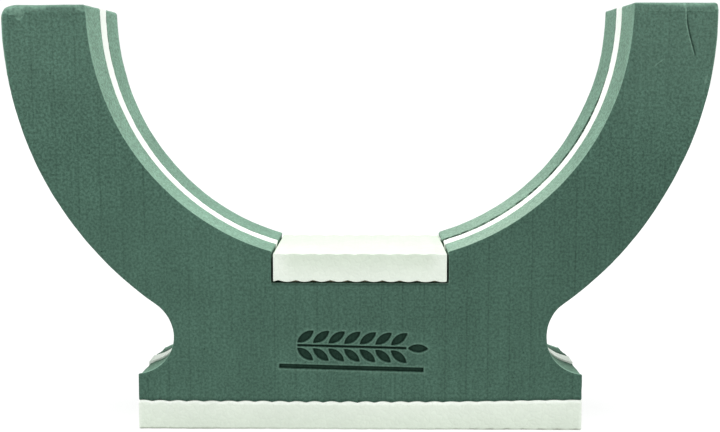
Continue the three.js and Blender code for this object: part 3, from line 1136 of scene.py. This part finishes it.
def glue_material():
    n = Nodes("glue")
    clouds = n.noise(60, 3, 0.5)
    colour = n.scaled(GLUE, n.ramp(clouds, 0.3, 0.7, 0.85, 1.05))
    n.link(Base_Color=colour, Normal=n.bump(n.noise(250, 2), 0.1 * MM, 0.5))
    n.link(Roughness=n.ramp(clouds, 0.3, 0.7, 0.25, 0.45))
    return n.material


# ---------------- stage


def add_camera():
    data = bpy.data.cameras.new("camera")
    data.lens = FOCAL_LENGTH
    camera = bpy.data.objects.new("camera", data)
    camera.location = (CAMERA_X, CAD_LOW.y - CAMERA_DISTANCE, CAMERA_HEIGHT)
    camera.rotation_euler = (math.pi / 2 - CAMERA_PITCH, 0, CAMERA_YAW)
    bpy.context.scene.collection.objects.link(camera)
    bpy.context.scene.camera = camera


def add_floor():
    mesh = bpy.data.meshes.new("floor")
    half = 40.0
    corners = [(-half, -half, 0), (half, -half, 0), (half, half, 0), (-half, half, 0)]
    mesh.from_pydata(corners, [], [(0, 1, 2, 3)])
    floor = bpy.data.objects.new("floor", mesh)
    floor.location.z = CAD_LOW.z - 0.1 * MM
    bpy.context.scene.collection.objects.link(floor)
    n = Nodes("pale_floor")
    n.link(Base_Color=(FLOOR_GREY, FLOOR_GREY, FLOOR_GREY, 1.0), Roughness=0.9, Specular_IOR_Level=0.0)
    n.link(Emission_Color=(1.0, 1.0, 1.0, 1.0), Emission_Strength=FLOOR_GLOW)
    mesh.materials.append(n.material)


def add_overhead_light():
    """A very soft light from above and a little behind, which leaves the front faces to the sky."""
    data = bpy.data.lights.new("overhead_light", "SUN")
    data.angle = OVERHEAD_ANGLE
    data.energy = OVERHEAD_STRENGTH
    light = bpy.data.objects.new("overhead_light", data)
    light.rotation_euler = (-Vector(OVERHEAD_DIRECTION)).to_track_quat("-Z", "Y").to_euler()
    bpy.context.scene.collection.objects.link(light)


def add_studio():
    world = bpy.data.worlds.new("studio")
    world.use_nodes = True
    tree = world.node_tree
    background = tree.nodes["Background"]
    background.inputs["Color"].default_value = (1.0, 1.0, 1.0, 1.0)
    direction = tree.nodes.new("ShaderNodeTexCoord").outputs["Generated"]
    towards = tree.nodes.new("ShaderNodeVectorMath")
    towards.operation = "DOT_PRODUCT"
    towards.inputs[1].default_value = SKY_BRIGHT
    fade = tree.nodes.new("ShaderNodeMapRange")
    for key, value in (("From Min", -0.9), ("From Max", 0.1), ("To Min", SKY_FRONT), ("To Max", SKY_BACK)):
        fade.inputs[key].default_value = value
    tree.links.new(direction, towards.inputs[0])
    tree.links.new(towards.outputs["Value"], fade.inputs["Value"])
    tree.links.new(fade.outputs["Result"], background.inputs["Strength"])
    bpy.context.scene.world = world
    bpy.context.scene.view_settings.view_transform = "Standard"
    add_overhead_light()


# ---------------- the object

add_camera()
add_studio()
add_floor()

foam = foam_material()
polystyrene = polystyrene_material()
glue = glue_material()

front_low, front_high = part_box("front_foam_panel")
back_low, back_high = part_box("back_foam_panel")
foam_panel("front_foam", "front_foam_panel", front_low.y, front_high.y, seed=11, worn=1.0, material=foam)
foam_panel("back_foam", "back_foam_panel", back_high.y, back_low.y, seed=23, worn=0.8, material=foam)
core_board(polystyrene)

plank_low, plank_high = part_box("base_plank")
plank_high = plank_high + Vector((0, 0, SCALLOP_TIPS))
plank_ring = scalloped_box(
    plank_low, plank_high, 1.4 * MM, plank_top_cut, plank_bottom_cut, plank_top_rise, plank_bottom_rise
)
plank = polystyrene_block(
    "base_plank_polystyrene", "base_plank", plank_ring, edge_radius=0.7 * MM, seed=31, material=polystyrene
)
plank_dull_and_shading = paint_dull_and_shading(plank, "base_plank", dull_and_shade_top=0.50, dull_and_shade_bottom=0.66, end_fade=2.5 * MM)
paint_plank(plank, plank_dull_and_shading)

seat_ring = scalloped_box(SEAT_LOW, SEAT_HIGH, 1.0 * MM, seat_top_cut, seat_bottom_cut)
seat = polystyrene_block(
    "urn_platform_polystyrene", "urn_platform", seat_ring, edge_radius=0.6 * MM, seed=37, material=polystyrene
)
paint_dull_and_shading(seat, "urn_platform", dull_and_shade_top=0.74, dull_and_shade_bottom=0.42, end_fade=16 * MM)

for film in ("front_glue_film", "back_glue_film", "base_glue_film", "platform_glue_film"):
    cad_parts[film].data.materials.clear()
    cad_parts[film].data.materials.append(glue)
